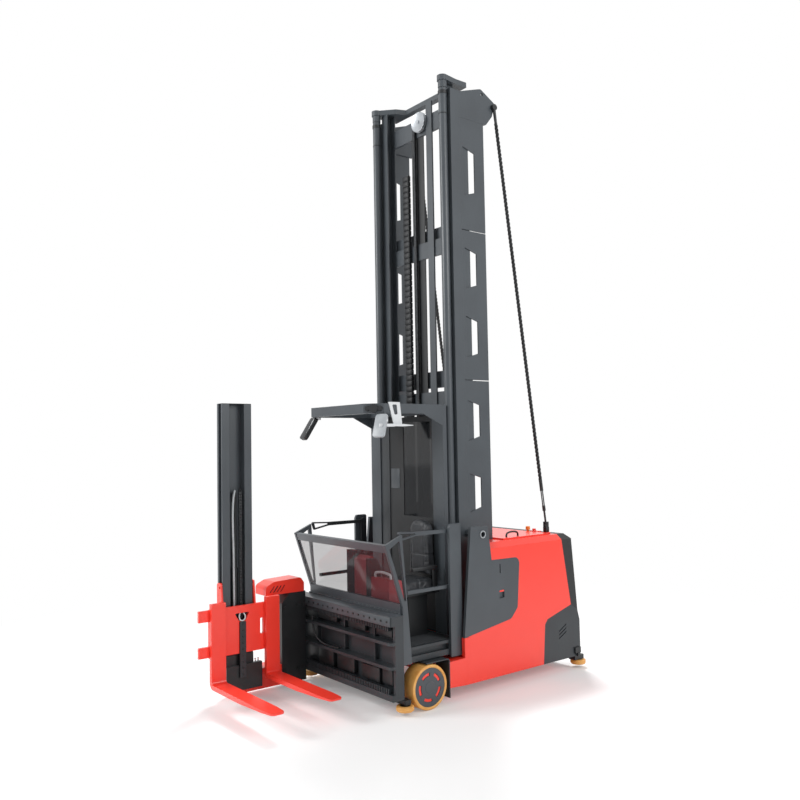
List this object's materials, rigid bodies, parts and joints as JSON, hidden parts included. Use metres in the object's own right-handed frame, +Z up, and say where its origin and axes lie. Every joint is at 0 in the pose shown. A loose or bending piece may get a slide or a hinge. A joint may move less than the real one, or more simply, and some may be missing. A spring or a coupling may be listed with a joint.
{
  "type": "man-up turret truck",
  "caption": "Very narrow aisle truck whose operator's cab rises on a two-stage mast, with a traversing turret head that turns the forks to either side",
  "frame": {"origin": "on the floor under the middle of the truck's overall box, cab lowered and turret parked", "axes": "+Z up, +X to the truck's left, -Y towards the forks' end"},
  "size_m": [1.61, 3.537, 5.7],
  "materials": {
    "red_paint": "gloss powder coat",
    "slate_paint": "satin powder coat",
    "black_paint": "satin enamel",
    "black_plastic": "moulded",
    "battery_case": "satin enamel",
    "polyurethane": "cast polyurethane",
    "wheel_disc": "satin enamel",
    "machined_steel": "machined",
    "chrome_rod": "polished",
    "floor_mat": "ribbed mat",
    "tinted_glass": "smoked",
    "seat_vinyl": "stitched vinyl",
    "white_paint": "satin powder coat"
  },
  "bodies": {
    "chassis": {"chassis_body": "red_paint", "load_legs": "red_paint", "battery": "battery_case", "hood": "red_paint", "side_panels": "slate_paint", "rear_cover": "slate_paint", "rear_strip": "black_plastic", "fenders": "slate_paint", "roller_brackets": "black_paint", "outer_rail_left": "slate_paint", "outer_rail_right": "slate_paint", "mast_cross_beams": "slate_paint", "mast_side_plates": "slate_paint", "mast_stays": "black_paint", "lift_cylinders": "slate_paint"},
    "load_wheel_left": {"tyre_left": "polyurethane", "hub_left": "wheel_disc"},
    "load_wheel_right": {"tyre_right": "polyurethane", "hub_right": "wheel_disc"},
    "roller_front_left": {"guide_roller_front_left": "polyurethane"},
    "roller_front_right": {"guide_roller_front_right": "polyurethane"},
    "roller_rear_left": {"guide_roller_rear_left": "polyurethane"},
    "roller_rear_right": {"guide_roller_rear_right": "polyurethane"},
    "steering": {"drive_turntable": "machined_steel"},
    "drive_wheel": {"drive_wheel": "polyurethane"},
    "inner_mast": {"inner_rail_left": "slate_paint", "inner_rail_right": "slate_paint", "inner_cross_beams": "slate_paint", "hose_tray": "black_paint", "mast_yoke": "slate_paint", "lift_rods": "chrome_rod"},
    "cab": {"cab_posts": "slate_paint", "cab_carriage": "slate_paint", "cab_floor": "floor_mat", "overhead_guard": "slate_paint", "rear_wall": "black_plastic", "windscreen_frame": "slate_paint", "windscreen": "tinted_glass", "side_posts": "slate_paint", "console": "black_plastic", "console_pods": "red_paint", "rear_window": "tinted_glass", "seat_base": "black_paint", "seat_cushion": "seat_vinyl", "seat_back": "seat_vinyl", "guard_lamp": "black_plastic", "mirrors": "white_paint", "traverse_frame": "slate_paint"},
    "gate_left": {"gate_left": "slate_paint"},
    "gate_right": {"gate_right": "slate_paint"},
    "traverse": {"traverse_carriage": "black_paint", "turret_arm": "red_paint"},
    "turret": {"aux_mast": "slate_paint", "mast_foot": "black_paint"},
    "fork_head": {"fork_carriage": "red_paint", "carriage_bar": "slate_paint", "forks": "red_paint"}
  },
  "joints": [
    {"name": "load_wheel_left_spin", "type": "hinge", "parent": "chassis", "child": "load_wheel_left", "pos_m": [0.6925, -0.2665, 0.19], "axis": [1, 0, 0], "continuous": true},
    {"name": "load_wheel_right_spin", "type": "hinge", "parent": "chassis", "child": "load_wheel_right", "pos_m": [-0.6925, -0.2665, 0.19], "axis": [1, 0, 0], "continuous": true},
    {"name": "roller_front_left_spin", "type": "hinge", "parent": "chassis", "child": "roller_front_left", "pos_m": [0.73, -0.5075, 0.06], "axis": [0, 0, 1], "continuous": true},
    {"name": "roller_front_right_spin", "type": "hinge", "parent": "chassis", "child": "roller_front_right", "pos_m": [-0.73, -0.5075, 0.06], "axis": [0, 0, 1], "continuous": true},
    {"name": "roller_rear_left_spin", "type": "hinge", "parent": "chassis", "child": "roller_rear_left", "pos_m": [0.73, 1.6935, 0.06], "axis": [0, 0, 1], "continuous": true},
    {"name": "roller_rear_right_spin", "type": "hinge", "parent": "chassis", "child": "roller_rear_right", "pos_m": [-0.73, 1.6935, 0.06], "axis": [0, 0, 1], "continuous": true},
    {"name": "steer", "type": "hinge", "parent": "chassis", "child": "steering", "pos_m": [0, 1.2335, 0.56], "axis": [0, 0, 1], "range_deg": [-90, 90]},
    {"name": "drive_wheel_spin", "type": "hinge", "parent": "steering", "child": "drive_wheel", "pos_m": [0, 1.2335, 0.2], "axis": [1, 0, 0], "continuous": true},
    {"name": "mast_lift", "type": "slide", "parent": "chassis", "child": "inner_mast", "axis": [0, 0, 1], "range_m": [0, 4]},
    {"name": "cab_lift", "type": "slide", "parent": "inner_mast", "child": "cab", "axis": [0, 0, 1], "range_m": [0, 4]},
    {"name": "gate_left_hinge", "type": "hinge", "parent": "cab", "child": "gate_left", "pos_m": [0.69, 0.0935, 1.47], "axis": [-1, 0, 0], "range_deg": [0, 85]},
    {"name": "gate_right_hinge", "type": "hinge", "parent": "cab", "child": "gate_right", "pos_m": [-0.69, 0.0935, 1.47], "axis": [-1, 0, 0], "range_deg": [0, 85]},
    {"name": "traverse_slide", "type": "slide", "parent": "cab", "child": "traverse", "axis": [1, 0, 0], "range_m": [0, 1.28]},
    {"name": "turret_swing", "type": "hinge", "parent": "traverse", "child": "turret", "pos_m": [-0.64, -1.3585, 0.24], "axis": [0, 0, 1], "range_deg": [-180, 0]},
    {"name": "fork_lift", "type": "slide", "parent": "turret", "child": "fork_head", "axis": [0, 0, 1], "range_m": [-0.1, 1.6]}
  ],
  "couplings": [
    {"joint": "cab_lift", "follows": "mast_lift", "ratio": 1}
  ]
}
